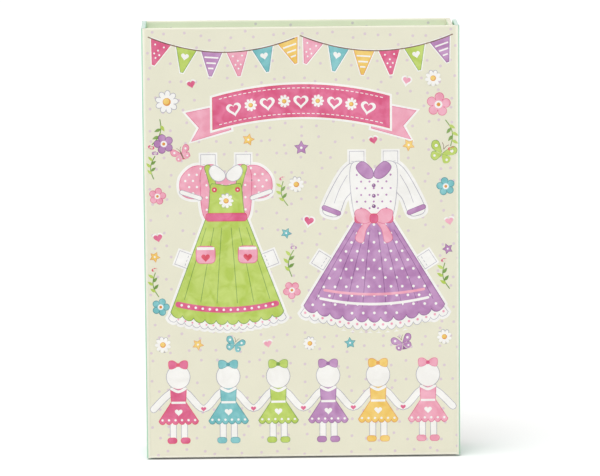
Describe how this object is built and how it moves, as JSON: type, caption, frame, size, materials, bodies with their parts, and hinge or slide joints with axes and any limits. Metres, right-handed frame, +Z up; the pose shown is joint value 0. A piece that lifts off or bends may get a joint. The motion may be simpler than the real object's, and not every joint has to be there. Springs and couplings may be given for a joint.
{
  "type": "paper doll box",
  "caption": "Upright storage box of wrapped board for paper dolls, with a hinged cover, a magnetic side flap and a fitted tray of card dolls, stands and press-out clothes.",
  "frame": {"origin": "middle of the closed box, on the surface that it stands on", "axes": "+X to the right across the cover, +Y from the cover to the back, +Z up"},
  "size_m": [0.18, 0.038, 0.248],
  "materials": {
    "printed_cream": "matt laminated cream paper with small lilac dots",
    "printed_mint": "matt laminated mint paper",
    "grey_board": "raw grey board",
    "magnet": "nickel-plated disc",
    "tray_card": "mint card",
    "white_card": "uncoated white card",
    "doll_card": "printed card",
    "clothes_card": "printed card"
  },
  "bodies": {
    "box": {"back_board": "grey_board", "back_wrap": "printed_cream", "back_liner": "printed_cream", "spine_board": "grey_board", "spine_wrap": "printed_mint", "spine_liner": "printed_mint", "closure_board": "grey_board", "closure_wrap": "printed_cream", "closure_liner": "printed_cream", "closure_magnets": "magnet", "cover_crease": "printed_mint", "spine_crease": "printed_mint", "closure_crease": "printed_cream", "tray": "tray_card", "platform": "white_card", "cross_divider": "tray_card", "upper_divider": "tray_card", "lower_divider": "tray_card", "doll_bob": "doll_card", "doll_plaits": "doll_card", "stands_bob": "doll_card", "stands_plaits": "doll_card", "outfit_sheet": "white_card", "dress": "clothes_card", "coat": "clothes_card", "dungarees": "clothes_card", "spare_outfit_sheets": "white_card", "trimmings_sheet": "white_card", "hat": "clothes_card", "bag": "clothes_card", "boots": "clothes_card", "bow": "clothes_card", "spare_trimmings_sheets": "white_card"},
    "cover": {"cover_board": "grey_board", "cover_wrap": "printed_cream", "cover_liner": "printed_mint", "flap_crease": "printed_mint"},
    "flap": {"flap_board": "grey_board", "flap_wrap": "printed_mint", "flap_liner": "printed_mint", "flap_magnets": "magnet"}
  },
  "joints": [
    {"name": "cover_hinge", "type": "hinge", "parent": "box", "child": "cover", "pos_m": [-0.08875, -0.01775, 0.124], "axis": [0, 0, -1], "range_deg": [0, 180]},
    {"name": "flap_hinge", "type": "hinge", "parent": "cover", "child": "flap", "pos_m": [0.08875, -0.01775, 0.124], "axis": [0, 0, -1], "range_deg": [0, 110]}
  ]
}
